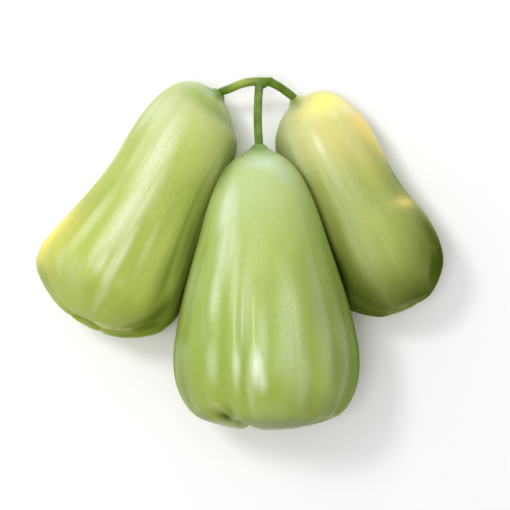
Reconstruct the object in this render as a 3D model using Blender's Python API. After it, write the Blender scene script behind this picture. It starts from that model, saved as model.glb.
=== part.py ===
"""A picked bunch of three wax apples on one forked stalk, lying on its side on a flat surface.

+Z is up and the surface is z = 0. +Y points from the fruits' calyx ends to the stalk. The origin is on the
surface, under the middle of the bunch. Lengths are in millimetres and angles in degrees until a mesh is made.
"""

import math
import random
from dataclasses import dataclass, field

import bmesh
import bpy
from mathutils import Matrix, Vector

MM = 0.001

# How finely the solids are faceted
AROUND = 72
WALL_RINGS = 18
STALK_SIDES = 12
FORK_SIDES = 24
STALK_RINGS = 14

# Puts the middle of the bunch's bounding box over the origin
CENTRE = Vector((4.315, -2.165, 0.0))

# Room between pieces that touch
GAP = 0.35

# Closer than this, points count as one
SAME_PLACE = 0.001

# The stalk's socket in the top of each fruit
SOCKET_DEPTH = 2.8
SOCKET_RADIUS = 1.75
SOCKET_MOUTH = 1.95
COLLAR_RADIUS = 2.4
COLLAR_RISE = 0.9
MOUTH_RISE = 0.7

# The outline of a calyx lobe, from the wall over its crest and down into the cup to the dry style at the
# centre: how far each point is above the fruit's end and from its axis, on a fruit whose calyx has size 1
LOBE = [(1.8, 17.6), (0.5, 13.2), (0.0, 10.4), (0.5, 7.8), (2.0, 5.7), (4.0, 4.4), (5.9, 4.9), (7.4, 5.2),
        (8.4, 4.2), (8.8, 2.4), (8.6, 1.1), (6.6, 0.9), (6.0, 0.0)]
# The same points in the cleft between two lobes
CLEFT = [(3.9, 18.0), (3.3, 14.9), (3.6, 12.2), (4.2, 10.4), (5.0, 8.9), (5.9, 7.6), (6.8, 6.9), (7.7, 5.9),
         (8.4, 4.3), (8.8, 2.4), (8.6, 1.1), (6.6, 0.9), (6.0, 0.0)]
CLEFT_WIDTH_OUTSIDE = 7.0
CLEFT_WIDTH_INSIDE = 13.0
# Over how many of these points the ribs fade out and the clefts open to their full width
RIBS_FADE_OVER = 2.0
CLEFTS_OPEN_OVER = 4.0

# Grooves between the ribs: their spacing, depth and width where no photograph shows them, and where along the
# fruit they start, are deepest and fade again, as shares of its length
GROOVE_SPACING = 19.0
GROOVE_JITTER = 3.0
GROOVE_SINK = (0.35, 0.7)
GROOVE_WIDTH = (4.5, 6.5)
GROOVES_START = 0.12
GROOVES_FULL = 0.72
GROOVES_FADE = 0.9
# How much of a groove's depth is lost at the calyx end
GROOVES_LOSS = 0.5
# The deeper divisions that run up from the clefts
DIVISION_SINK = 1.1
DIVISION_WIDTH = 8.0
DIVISIONS_START = 0.5
DIVISIONS_FULL = 0.95

# The part of the top that leans towards the stalk, and the point that it turns about
TIP_REACH = 15.0
TIP_PIVOT = Vector((0.0, -6.0, 0.0))

# How softly a fruit flattens against its neighbour, and from how far inside it nothing changes
PRESS_SOFTNESS = 0.5
PRESS_REACH = 30.0


@dataclass
class Fruit:
    """One wax apple, described along its own axis from the stalk to the calyx."""

    name: str
    top: tuple
    yaw: float
    pitch: float
    length: float
    wall: list
    calyx: float
    clefts: list
    cleft_open: float
    seed: int
    # Grooves on the side that the photograph shows: angle, depth, width
    grooves_seen: list
    rib_strength: float = 1.0
    end_lean: float = 0.0
    tip_turn: tuple = (0.0, 0.0)
    # Single hollows and swellings: angle, depth from the top, how deep, width round, height along
    dimples: list = field(default_factory=list)


MIDDLE = Fruit(
    name="fruit_middle",
    top=(1.25, 31.9, 32.3),
    yaw=1.95,
    pitch=-4.3,
    length=83.7,
    wall=[(0.5, 3.3), (2.4, 6.7), (5.4, 10.1), (9.7, 13.0), (17.5, 16.4), (27.8, 19.7), (42.3, 24.2),
          (53.2, 26.7), (62.0, 28.0), (69.5, 27.6), (75.5, 25.5), (79.8, 22.2)],
    calyx=1.0,
    clefts=[-29.0, 62.0, 148.0, -118.0],
    cleft_open=1.0,
    seed=3,
    grooves_seen=[(-64.0, 0.4, 6.0), (-44.0, 0.5, 5.0), (-28.5, 0.6, 4.5), (-14.6, 0.8, 4.2),
                  (3.5, 0.35, 6.0), (28.0, 0.6, 6.0), (46.5, 0.45, 5.0), (65.0, 0.5, 6.0)],
    end_lean=0.02,
    dimples=[(-40.0, 79.2, 2.7, 9.0, 2.6), (-52.0, 82.8, 0.8, 14.0, 2.2)],
)
LEFT = Fruit(
    name="fruit_left",
    top=(-13.3, 53.5, 13.2),
    yaw=-26.8,
    pitch=8.2,
    length=83.7,
    wall=[(0.3, 3.2), (1.8, 7.0), (4.4, 10.4), (8.3, 13.1), (14.5, 15.7), (23.0, 16.8), (34.0, 17.2),
          (44.0, 18.5), (54.0, 20.6), (62.5, 22.5), (69.5, 23.8), (75.0, 22.4), (79.0, 18.0), (81.6, 13.6)],
    calyx=0.66,
    clefts=[68.0, 152.0, -124.0, -62.0],
    cleft_open=0.35,
    seed=11,
    grooves_seen=[(-39.0, 0.6, 6.0), (-22.0, 0.5, 5.0), (-2.5, 0.25, 3.5), (11.0, 0.55, 6.0),
                  (28.0, 0.3, 6.0), (50.0, 0.7, 7.0), (68.0, 0.2, 7.0), (86.0, 0.25, 7.0)],
    rib_strength=0.9,
    end_lean=-0.005,
    tip_turn=(-20.0, 12.0),
    dimples=[(88.0, 76.0, 1.5, 25.0, 7.0), (92.0, 8.5, -0.7, 35.0, 5.0)],
)
RIGHT = Fruit(
    name="fruit_right",
    top=(14.1, 51.1, 13.45),
    yaw=25.8,
    pitch=5.6,
    length=74.2,
    wall=[(0.4, 3.2), (2.2, 8.0), (6.0, 11.9), (12.0, 14.7), (19.0, 15.8), (33.0, 15.7), (43.0, 16.7),
          (50.0, 18.5), (55.5, 19.4), (61.0, 19.3), (66.0, 17.3), (70.3, 13.3)],
    calyx=0.52,
    clefts=[52.0, 135.0, -140.0, -48.0],
    cleft_open=0.35,
    seed=7,
    grooves_seen=[(-20.0, 0.25, 7.0), (-1.0, 0.15, 6.0), (20.0, 0.2, 7.0), (45.0, 0.3, 7.0)],
    rib_strength=0.6,
    end_lean=0.05,
    tip_turn=(14.0, 16.0),
    dimples=[(-55.0, 70.0, 0.5, 28.0, 5.0), (60.0, 6.0, 0.7, 35.0, 6.0), (85.0, 61.0, 0.9, 25.0, 8.0),
             (-95.0, 6.0, -0.6, 35.0, 4.0)],
)
# Fruits that touch: the point where they meet and the direction from the first to the second
CONTACTS = [
    (MIDDLE, RIGHT, (22.2, -3.5, 21.0), (0.899, 0.325, -0.292)),
    (MIDDLE, LEFT, (-18.3, -1.0, 26.0), (-0.939, 0.282, -0.196)),
]

# The stalk's fork, and each pedicel's way from it to its fruit
FORK = Vector((1.9, 55.2, 21.0))
# Sections of the swollen fork, from the flat cut down: height along +Y, half width, half thickness
FORK_SECTIONS = [(1.15, 3.6, 1.5), (0.7, 3.9, 1.7), (-0.4, 3.5, 1.75), (-1.4, 2.2, 1.6), (-2.3, 1.1, 1.1)]
PEDICELS = {
    "fruit_left": [(-7.9, 53.5, 18.0), (-4.2, 54.6, 20.0), (-0.6, 55.2, 21.0)],
    "fruit_middle": [(0.85, 41.0, 28.6), (1.0, 48.5, 24.8), (1.35, 53.6, 21.6)],
    "fruit_right": [(10.6, 52.2, 17.0), (7.2, 54.1, 19.2), (3.9, 55.3, 20.7)],
}
PEDICEL_RADIUS = 1.3
PEDICEL_ENDS = 1.42
# How far a pedicel runs straight on above its fruit
PEDICEL_STRAIGHT = 1.3


def smooth(value):
    """0 below 0, 1 above 1 and an even slope between."""
    value = min(1.0, max(0.0, value))
    return value * value * (3.0 - 2.0 * value)


def turned(angle):
    """The angle in degrees between -180 and 180."""
    return (angle + 180.0) % 360.0 - 180.0


def bump(distance, width):
    return math.exp(-((distance / width) ** 2))


def on_curve(points, place):
    """The point of the smooth curve through these points, at place points along it."""
    last = len(points) - 1
    start = min(int(place), last - 1)
    part = place - start
    before, here, ahead, after = (points[max(0, min(last, start + step))] for step in (-1, 0, 1, 2))
    return tuple(
        0.5 * (2.0 * b + (c - a) * part + (2.0 * a - 5.0 * b + 4.0 * c - d) * part**2
               + (3.0 * b - a - 3.0 * c + d) * part**3)
        for a, b, c, d in zip(before, here, ahead, after)
    )


def placement(fruit):
    """The matrix from the fruit's own frame, in millimetres, to the bunch's."""
    yaw = Matrix.Rotation(math.radians(fruit.yaw), 4, "Z")
    pitch = Matrix.Rotation(math.radians(-fruit.pitch), 4, "X")
    return Matrix.Translation(Vector(fruit.top) + CENTRE) @ yaw @ pitch


def grooves(fruit):
    """Every groove round the fruit as its angle, its depth and its width."""
    draw = random.Random(fruit.seed)
    first, last = fruit.grooves_seen[0][0], fruit.grooves_seen[-1][0]
    room = 360.0 - (last - first)
    count = round(room / GROOVE_SPACING) - 1
    hidden = [(last + room * (step + 1) / (count + 1) + draw.uniform(-GROOVE_JITTER, GROOVE_JITTER),
               draw.uniform(*GROOVE_SINK) * fruit.rib_strength, draw.uniform(*GROOVE_WIDTH))
              for step in range(count)]
    return fruit.grooves_seen + hidden


def sunk(fruit, every_groove, angle, depth):
    """How far the grooves and the single hollows sink the wall at this angle and this far down the fruit."""
    along = depth / fruit.length
    ribs = smooth((along - GROOVES_START) / (GROOVES_FULL - GROOVES_START))
    ribs *= 1.0 - GROOVES_LOSS * smooth((along - GROOVES_FADE) / (1.0 - GROOVES_FADE))
    total = sum(sink * ribs * bump(turned(angle - middle), width) for middle, sink, width in every_groove)
    divisions = smooth((along - DIVISIONS_START) / (DIVISIONS_FULL - DIVISIONS_START))
    divisions *= DIVISION_SINK * fruit.calyx * fruit.cleft_open
    total += sum(divisions * bump(turned(angle - cleft), DIVISION_WIDTH) for cleft in fruit.clefts)
    total += sum(sink * bump(turned(angle - middle), width) * bump(depth - down, height)
                 for middle, down, sink, width, height in fruit.dimples)
    return total


def turn_tip(fruit, point):
    """Leans the top of the fruit towards its stalk."""
    share = 1.0 - smooth(-point.y / TIP_REACH)
    plan, lift = fruit.tip_turn
    lean = (Matrix.Rotation(math.radians(plan * share), 3, "Z")
            @ Matrix.Rotation(math.radians(lift * share), 3, "X"))
    return TIP_PIVOT + lean @ (point - TIP_PIVOT)


def press(fruit, place, point):
    """Flattens the fruit softly where it meets a neighbour."""
    world = place @ point
    for first, second, meeting, direction in CONTACTS:
        if fruit not in (first, second):
            continue
        away = Vector(direction).normalized() * (1.0 if fruit is first else -1.0)
        room = away.dot(Vector(meeting) + CENTRE - world) - GAP / 2.0
        if room < PRESS_REACH:
            kept = PRESS_SOFTNESS * math.log1p(math.exp(room / PRESS_SOFTNESS))
            world = world + away * (room - kept)
    return place.inverted() @ world


def ring(radius, depth):
    """Points of a plain ring round the axis."""
    return [Vector((radius * math.sin(turn), -depth, radius * math.cos(turn)))
            for turn in (math.tau * step / AROUND for step in range(AROUND))]


def outline_stations(fruit):
    """The outline down a lobe and down a cleft: depth and radius of each, from the top to the style."""
    size = fruit.calyx
    stations = [(depth, radius, depth, radius) for depth, radius in fruit.wall]
    for (lobe_height, lobe_radius), (cleft_height, cleft_radius) in zip(LOBE, CLEFT):
        stations.append((fruit.length - lobe_height * size, lobe_radius * size,
                         fruit.length - cleft_height * size, cleft_radius * size))
    return stations


def body_ring(fruit, every_groove, stations, place):
    """Points round the fruit at place stations down its outline."""
    lobe_depth, lobe_radius, cleft_depth, cleft_radius = on_curve(stations, place)
    inside = smooth((place - len(fruit.wall)) / CLEFTS_OPEN_OVER)
    outer = 1.0 - smooth((place - len(fruit.wall)) / RIBS_FADE_OVER)
    width = CLEFT_WIDTH_OUTSIDE + (CLEFT_WIDTH_INSIDE - CLEFT_WIDTH_OUTSIDE) * inside
    points = []
    for step in range(AROUND):
        angle = 360.0 * step / AROUND
        cleft = max(bump(turned(angle - middle), width) for middle in fruit.clefts)
        cleft *= fruit.cleft_open + (1.0 - fruit.cleft_open) * inside
        depth = lobe_depth + (cleft_depth - lobe_depth) * cleft
        radius = lobe_radius + (cleft_radius - lobe_radius) * cleft
        radius -= sunk(fruit, every_groove, angle, depth) * outer
        turn = math.radians(angle)
        across = radius * math.sin(turn)
        lean = fruit.end_lean * across * smooth(2.0 * depth / fruit.length - 1.0)
        points.append(Vector((across, -depth - lean, radius * math.cos(turn))))
    return points


def fruit_rings(fruit):
    """Every ring of the fruit, from the bottom of the stalk's socket to the foot of the style."""
    stations = outline_stations(fruit)
    every_groove = grooves(fruit)
    last_wall = len(fruit.wall) - 1
    places = [last_wall * step / WALL_RINGS for step in range(WALL_RINGS)]
    places += range(last_wall, len(stations) - 1)
    rings = [ring(SOCKET_RADIUS, SOCKET_DEPTH)]
    rings += [ring(SOCKET_MOUTH, -MOUTH_RISE), ring(COLLAR_RADIUS, -COLLAR_RISE)]
    rings += [body_ring(fruit, every_groove, stations, place) for place in places]
    return rings


def make_fruit(fruit, look):
    """The fruit as one closed solid, with its calyx and its small flats where it rests."""
    place = placement(fruit)
    mesh = bmesh.new()
    rows = []
    for points in fruit_rings(fruit):
        shaped = [press(fruit, place, turn_tip(fruit, point)) for point in points]
        rows.append([mesh.verts.new(point) for point in shaped])
    for upper, lower in zip(rows, rows[1:]):
        for step in range(AROUND):
            after = (step + 1) % AROUND
            mesh.faces.new((upper[step], lower[step], lower[after], upper[after]))
    ends = [(rows[0], Vector((0.0, -SOCKET_DEPTH, 0.0))),
            (rows[-1], Vector((0.0, -fruit.length + LOBE[-1][0] * fruit.calyx, 0.0)))]
    for row, centre in ends:
        hub = mesh.verts.new(press(fruit, place, turn_tip(fruit, centre)))
        for step in range(AROUND):
            mesh.faces.new((row[step], row[(step + 1) % AROUND], hub))
    rest_on_surface(mesh, place)
    bmesh.ops.recalc_face_normals(mesh, faces=mesh.faces)
    bmesh.ops.triangulate(mesh, faces=mesh.faces)
    return new_object(fruit.name, mesh, place, look)


def rest_on_surface(mesh, place):
    """Cuts off what would be below the surface and closes the cuts with flat faces."""
    down = place.inverted().to_3x3() @ Vector((0.0, 0.0, -1.0))
    foot = place.inverted() @ Vector((0.0, 0.0, 0.0))
    everything = [*mesh.verts, *mesh.edges, *mesh.faces]
    cut = bmesh.ops.bisect_plane(
        mesh, geom=everything, dist=SAME_PLACE, plane_co=foot, plane_no=down, clear_outer=True
    )
    edges = [item for item in cut["geom_cut"] if isinstance(item, bmesh.types.BMEdge)]
    bmesh.ops.holes_fill(mesh, edges=edges)


def material(name, colour, roughness):
    """A plain material of this colour."""
    made = bpy.data.materials.new(name)
    made.use_nodes = True
    shader = made.node_tree.nodes["Principled BSDF"]
    shader.inputs["Base Color"].default_value = (*colour, 1.0)
    shader.inputs["Roughness"].default_value = roughness
    shader.inputs["Metallic"].default_value = 0.0
    return made


def new_object(name, mesh, place, look):
    """Turns a mesh in millimetres into an object in metres."""
    bmesh.ops.scale(mesh, vec=(MM, MM, MM), verts=mesh.verts)
    data = bpy.data.meshes.new(name)
    mesh.to_mesh(data)
    mesh.free()
    data.shade_smooth()
    data.materials.append(look)
    made = bpy.data.objects.new(name, data)
    made.location = place.to_translation() * MM
    made.rotation_euler = place.to_euler()
    bpy.context.scene.collection.objects.link(made)
    return made


def tube(path, radii):
    """A round solid along a path, with flat ends."""
    mesh = bmesh.new()
    rows = []
    for index, point in enumerate(path):
        ahead = path[min(index + 1, len(path) - 1)] - path[max(index - 1, 0)]
        side = ahead.cross(Vector((0.0, 0.0, 1.0))).normalized()
        rise = side.cross(ahead).normalized()
        turns = [math.tau * step / STALK_SIDES for step in range(STALK_SIDES)]
        rows.append([mesh.verts.new(point + (side * math.cos(turn) + rise * math.sin(turn)) * radii[index])
                     for turn in turns])
    skin(mesh, rows)
    return mesh


def skin(mesh, rows):
    """Faces between rings of vertices, and a flat face on each end."""
    for upper, lower in zip(rows, rows[1:]):
        for step in range(len(upper)):
            after = (step + 1) % len(upper)
            mesh.faces.new((upper[step], lower[step], lower[after], upper[after]))
    mesh.faces.new(rows[0])
    mesh.faces.new(rows[-1][::-1])
    bmesh.ops.recalc_face_normals(mesh, faces=mesh.faces)


def pedicel(fruit):
    """One pedicel, from inside the fruit's socket to the fork."""
    place = placement(fruit)
    heights = (GAP - SOCKET_DEPTH, 0.0, PEDICEL_STRAIGHT)
    seat = [place @ turn_tip(fruit, Vector((0.0, height, 0.0))) for height in heights]
    stations = seat + [Vector(point) + CENTRE for point in PEDICELS[fruit.name]]
    steps = STALK_RINGS
    path = [Vector(on_curve([tuple(point) for point in stations], (len(stations) - 1) * step / steps))
            for step in range(steps + 1)]
    radii = [PEDICEL_RADIUS + (PEDICEL_ENDS - PEDICEL_RADIUS) * abs(2.0 * step / steps - 1.0) ** 3
             for step in range(steps + 1)]
    return tube([point - FORK - CENTRE for point in path], radii)


def make_stalk(look):
    """The forked stalk: three pedicels joined to the swollen fork, which ends in a flat cut."""
    place = Matrix.Translation(FORK + CENTRE)
    mesh = bmesh.new()
    rows = []
    for height, width, thickness in FORK_SECTIONS:
        turns = [math.tau * step / FORK_SIDES for step in range(FORK_SIDES)]
        rows.append([mesh.verts.new((width * math.cos(turn), height, thickness * math.sin(turn)))
                     for turn in turns])
    skin(mesh, rows)
    stalk = new_object("stalk", mesh, place, look)
    for fruit in (LEFT, MIDDLE, RIGHT):
        branch = new_object(f"pedicel_of_{fruit.name}", pedicel(fruit), place, look)
        branch.hide_render = True
        branch.display_type = "WIRE"
        join = stalk.modifiers.new(branch.name, "BOOLEAN")
        join.operation = "UNION"
        join.object = branch
    return stalk


def clear_scene():
    for old in list(bpy.data.objects):
        bpy.data.objects.remove(old)


clear_scene()
skin_look = material("fruit_skin", (0.43, 0.58, 0.16), 0.3)
for each in (LEFT, MIDDLE, RIGHT):
    make_fruit(each, skin_look)
make_stalk(material("green_stalk", (0.12, 0.22, 0.02), 0.5))
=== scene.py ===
"""The look of a picked bunch of three wax apples on a forked stalk, lying on a pale surface.

The fruits and the stalk are grown again from the same rules as the solids, but finely, and get their skins.
Lengths are in millimetres and angles in degrees until a mesh is made. Angles round a fruit start on its
upper side. The colours of skin and bark are display colours from 0 to 255.
"""

import math
import random
from dataclasses import dataclass, field

import bpy
import numpy as np
from mathutils import Matrix, Vector


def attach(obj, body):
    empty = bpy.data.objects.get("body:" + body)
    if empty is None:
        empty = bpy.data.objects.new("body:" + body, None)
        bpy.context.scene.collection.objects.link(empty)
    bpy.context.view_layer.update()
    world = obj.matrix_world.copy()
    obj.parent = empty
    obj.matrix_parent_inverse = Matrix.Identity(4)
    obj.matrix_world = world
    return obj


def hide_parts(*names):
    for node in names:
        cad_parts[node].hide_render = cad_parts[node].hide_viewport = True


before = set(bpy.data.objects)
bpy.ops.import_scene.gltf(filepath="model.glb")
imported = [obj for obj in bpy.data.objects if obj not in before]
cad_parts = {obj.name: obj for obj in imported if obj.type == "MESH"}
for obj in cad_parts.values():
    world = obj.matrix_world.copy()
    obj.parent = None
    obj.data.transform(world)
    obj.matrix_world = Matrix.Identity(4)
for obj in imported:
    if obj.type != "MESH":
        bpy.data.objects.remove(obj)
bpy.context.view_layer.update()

MM = 0.001

# How finely the visible pieces are made
AROUND = 288
NECK_ROWS = 10
WALL_ROWS = 96
CALYX_ROWS = 66
STALK_SIDES = 24
FORK_SIDES = 48
STALK_ROWS = 60
STALK_VOXEL = 0.17
# How strongly and how often the stalk's remeshed surface is smoothed
SOFTEN_SHARE = 0.5
SOFTEN_ROUNDS = 8

# Puts the middle of the bunch's bounding box over the origin
CENTRE = np.array((4.315, -2.165, 0.0))

# Room between pieces that touch
GAP = 0.35

# The stalk's socket in the top of each fruit, and the skin's lip round it as depth from the top and radius
SOCKET_DEPTH = 2.8
COLLAR = [(1.0, 1.1), (-0.3, 1.25), (-1.0, 1.45), (-1.05, 1.75), (-0.55, 2.3)]

# The outline of a calyx lobe, from the wall over its crest and down into the cup to the dry style at the
# centre: how far each point is above the fruit's end and from its axis, on a fruit whose calyx has size 1
LOBE = [(1.8, 17.6), (0.5, 13.2), (0.0, 10.4), (0.5, 7.8), (2.0, 5.7), (4.0, 4.4), (5.9, 4.9), (7.4, 5.2),
        (8.4, 4.2), (8.8, 2.4), (8.6, 1.1), (6.6, 0.9), (6.0, 0.0)]
# The same points in the cleft between two lobes
CLEFT = [(3.9, 18.0), (3.3, 14.9), (3.6, 12.2), (4.2, 10.4), (5.0, 8.9), (5.9, 7.6), (6.8, 6.9), (7.7, 5.9),
         (8.4, 4.3), (8.8, 2.4), (8.6, 1.1), (6.6, 0.9), (6.0, 0.0)]
CLEFT_WIDTH_OUTSIDE = 7.0
CLEFT_WIDTH_INSIDE = 13.0
# Over how many of these points the ribs fade out and the clefts open to their full width
RIBS_FADE_OVER = 2.0
CLEFTS_OPEN_OVER = 4.0
# How far before the last point the last row of the mesh lies, so that it stays off the axis
SHORT_OF_AXIS = 0.02

# Grooves between the ribs: their spacing, depth and width where no photograph shows them, and where along
# the fruit they start, are deepest and fade again, as shares of its length
GROOVE_SPACING = 19.0
GROOVE_JITTER = 3.0
GROOVE_SINK = (0.35, 0.7)
GROOVE_WIDTH = (4.5, 6.5)
GROOVES_START = 0.12
GROOVES_FULL = 0.72
GROOVES_FADE = 0.9
# How much of a groove's depth is lost at the calyx end
GROOVES_LOSS = 0.5
# The deeper divisions that run up from the clefts
DIVISION_SINK = 1.1
DIVISION_WIDTH = 8.0
DIVISIONS_START = 0.5
DIVISIONS_FULL = 0.95

# The skin's small ridges, as their number round the fruit and their height
FINE_RIBS = ((23, 0.03), (37, 0.018), (53, 0.01))
# They sway from side to side on their way down: the angle for each millimetre of the way and how strongly,
# both in radians
FINE_RIB_SWAY = (0.01, 0.03)
FINE_RIB_BEND = 2.0
# Where they start, and over what share of the fruit's length they rise to their full height
FINE_RIBS_START = 0.08
FINE_RIBS_RISE = 0.4
# Keeps their random draws apart from the grooves' draws
FINE_RIBS_SEED = 100

# The part of the top that leans towards the stalk, and the point that it turns about
TIP_REACH = 15.0
TIP_PIVOT = (0.0, -6.0, 0.0)

# How softly a fruit flattens against its neighbour and on the surface, and below what height it does there
PRESS_SOFTNESS = 0.5
REST_SOFTNESS = 0.12
REST_REACH = 1.0

# Other colours in places on the skin: cool pale wax with a painted highlight, warm pale wax with a painted
# highlight, a painted reflection of the sky, ripe yellow and ripe peach with painted sunlight, the green
# round the stalk, fresh green, painted shade in dark green and dry skin
SPOT_COLOURS = {
    "cool_wax_and_highlight": (222, 233, 208),
    "warm_wax_and_highlight": (232, 236, 208),
    "sky_reflection": (190, 210, 194),
    "blush_and_sunlight": (255, 241, 116),
    "peach_and_sunlight": (255, 226, 126),
    "stem": (104, 140, 52),
    "fresh": (146, 184, 40),
    "shade": (58, 76, 14),
    "scar": (206, 202, 132),
}
# How flat each kind's spots are in the middle, and so how sharp their edges are. A bell has 2
BELL_EDGE = 2.0
SPOT_EDGES = {"cool_wax_and_highlight": 3.0, "warm_wax_and_highlight": 3.0, "scar": 4.0}
# The kinds that lie in fine strands
STRANDED = ("cool_wax_and_highlight", "warm_wax_and_highlight")
# How much of each kind's spots also shows on the calyx lobes and in the cup
SPOT_CALYX_SHARES = {"scar": 1.0, "shade": 0.5}

# The depth at which a groove counts as full for the skin's colour
GROOVE_DEEP = 1.3
# The cup's colour and the dry rim, by how many points past the lobes' first one they lie
CUP_START = 3.0
CUP_RISE = 2.5
RIM_PLACE = 4.2
RIM_WIDTH = 0.9
# How much of the rim's dryness is lost in a cleft
RIM_LOSS = 0.5
# The underside gets painted shade in its colour and loses gloss
# How far round from its upper side a fruit starts to count as its underside, and over what angle it comes in
UNDER_START = 50.0
UNDER_RISE = 45.0
# The radius at which the skin's streaks are drawn, so that they draw together towards the stalk
SPOKE = 20.0


@dataclass
class Skin:
    """How one fruit's skin looks."""

    # Gloss at the top and at the calyx end
    gloss_top: float
    gloss_end: float
    # How strong the pale streaks are
    streaky: float
    ground: tuple
    # Pale ridges, deep green grooves and the calyx end
    pale: tuple
    deep: tuple
    end: tuple


SKINS = {
    "fruit_left": Skin(gloss_top=0.5, gloss_end=0.2, streaky=0.5, ground=(177, 191, 92),
                       pale=(200, 210, 138), deep=(134, 160, 46), end=(162, 178, 62)),
    "fruit_middle": Skin(gloss_top=0.9, gloss_end=1.1, streaky=0.6, ground=(164, 184, 88),
                         pale=(186, 202, 130), deep=(130, 156, 46), end=(154, 168, 64)),
    "fruit_right": Skin(gloss_top=1.0, gloss_end=-0.6, streaky=0.25, ground=(164, 175, 86),
                        pale=(212, 210, 146), deep=(126, 142, 46), end=(106, 120, 34)),
}
DRY_COLOUR = (164, 150, 84)
CUP_COLOUR = (138, 146, 62)

# The skin's patterns: how fine each is across, along and up the fruit, as cells in a millimetre, and its
# detail and roughness. The pores have no detail
STREAKS = ((0.24, 0.01, 0.24), 3.0, 0.55)
STRANDS = ((0.5, 0.014, 0.5), 3.0, 0.6)
CLOUDS = ((0.06, 0.03, 0.06), 2.0, 0.5)
GRAIN = ((1.8, 1.8, 1.8), 3.0, 0.7)
DRY_PATCHES = ((0.8, 0.8, 0.8), 3.0, 0.5)
RIPPLES = ((2.2, 1.1, 2.2), 3.0, 0.6)
WAVES = ((0.5, 0.5, 0.5), 2.0, 0.5)
PORES = (0.55, 0.385, 0.55)

# Between which of its own values each pattern comes in, from none of it to all of it
STREAK_STEP = (0.3, 0.75)
STRAND_STEP = (0.3, 0.6)
CLOUD_STEP = (0.4, 0.7)
GROOVE_STEP = (0.0, 0.8)
SPECK_STEP = (0.4, 0.72)
PORE_STEP = (0.18, 0.05)
DRY_STEP = (0.3, 0.7)
ROUGH_STEP = (0.3, 0.7)
# The same for where the streaks, the pale top, the end's colour and the specks are, as shares of the length
STREAK_REACH = (1.1, 0.3)
TOP_REACH = (0.45, 0.0)
END_REACH = (0.72, 1.0)
SPECK_REACH = (1.1, 0.4)
# How much of the skin's colour each takes over where it is strongest
CLOUD_SHARE = 0.4
GROOVE_SHARE = 0.4
END_SHARE = 0.6
SPECK_SHARE = 0.28
PORE_SHARE = 0.2
UNDERSIDE_SHADE_SHARE = 0.3
CUP_SHARE = 0.8
# How strong the strands are at their weakest and their strongest, and by what the grain multiplies that
STRAND_STRENGTH = (0.6, 1.0)
STRAND_GRAIN = (0.75, 1.05)
# How much of every other spot follows the grain, and how much is there without it
SPOT_GRAIN = 0.8
SPOT_EVEN = 0.6

# The skin's roughness, less this much for full gloss, and what the grain and dry skin add
SKIN_ROUGHNESS = 0.45
GLOSS_ROUGHNESS = 0.12
GRAIN_ROUGHNESS = 0.08
DRY_ROUGHNESS = 0.35
# The light that goes into the flesh: its share, how far each colour goes, and the unit of that in metres
FLESH_SHARE = 0.18
FLESH_RADIUS = (1.0, 1.2, 0.4)
FLESH_SCALE = 0.002
# How strongly the skin and its wax coat mirror, and how rough the coat is
MIRROR = 0.3
COAT = 0.16
COAT_ROUGHNESS = 0.17
# How much of both the underside loses, and painted shade for each full spot of it
UNDER_DULL = 0.7
SHADE_DULL = 1.4
# The skin's fine relief: how much the broad waves count, its height in metres and how strongly it shows
WAVE_SHARE = 0.8
SKIN_RELIEF = 0.0002
SKIN_RELIEF_SHOWS = 0.32

# The stalk's bark: its colours, then its patterns and the rest as for the skin
BARK_DARK = (80, 110, 22)
BARK_LIGHT = (104, 130, 34)
BARK_RIPE = (168, 182, 84)
BARK_CUT = (196, 192, 150)
BARK_CLOUDS = ((0.25, 0.25, 0.25), 2.0, 0.5)
BARK_GRAIN = ((1.0, 1.0, 1.0), 2.0, 0.5)
BARK_STEP = (0.35, 0.65)
BARK_RIPE_SHARE = 0.8
BARK_ROUGHNESS = 0.4
BARK_MIRROR = 0.35
BARK_RELIEF = 0.0003
BARK_RELIEF_SHOWS = 0.2
# The flat cut, from the fork's middle: how high it starts, its middle and half width, and its soft edges
CUT_HEIGHT = 0.6
CUT_HEIGHT_EDGE = 0.3
CUT_MIDDLE = -0.6
CUT_HALF_WIDTH = 3.4
CUT_SIDE_EDGE = 0.6
# Riper bark, from the fork's middle: round the left elbow, and on the right from some way down the stalk
RIPE_ELBOW = (-6.5, 0.6)
RIPE_ELBOW_WIDTH = 3.6
RIPE_SIDE = 0.3
RIPE_SIDE_EDGE = 0.8
RIPE_HEIGHT = -9.0
RIPE_HEIGHT_WIDTH = 4.0

# The camera looks down on the bunch, tilted a little towards the calyx ends
CAMERA_TARGET = CENTRE + (0.0, 0.0, 28.0)
CAMERA_DISTANCE = 420.0
CAMERA_TILT = 6.0
CAMERA_LENS = 98.0
CAMERA_NEAR = 10.0
SENSOR_WIDTH = 36.0

# Soft lights: place and size in metres, power in watts, colour. All of them face one point in the bunch
LIGHTS = {
    "overhead": ((-0.05, -0.02, 0.65), (0.35, 0.35), 0.73, (1.0, 1.0, 0.98)),
    "spark": ((-0.07, -0.1, 0.6), (0.15, 0.12), 0.83, (1.0, 1.0, 0.96)),
    "window_left": ((-0.48, 0.26, 0.26), (0.3, 0.4), 0.33, (0.94, 1.0, 1.0)),
    "behind": ((-0.05, 0.65, 0.1), (0.5, 0.12), 0.57, (0.85, 0.95, 1.0)),
    "upper_left": ((-0.25, 0.14, 0.6), (0.12, 0.12), 1.15, (1.0, 1.0, 0.98)),
    "top_right": ((0.2, 0.62, 0.14), (0.15, 0.15), 0.6, (1.0, 0.96, 0.86)),
}
LIGHT_TARGET = Vector((0.0, 0.0, 0.025))
WORLD_COLOUR = (1.0, 1.0, 1.0, 1.0)
WORLD_STRENGTH = 0.45

# The plain surface, half of its side in metres and its colour as light
FLOOR_HALF = 3.0
FLOOR_COLOUR = (0.95, 0.95, 0.975, 1.0)
FLOOR_ROUGHNESS = 0.8


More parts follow.
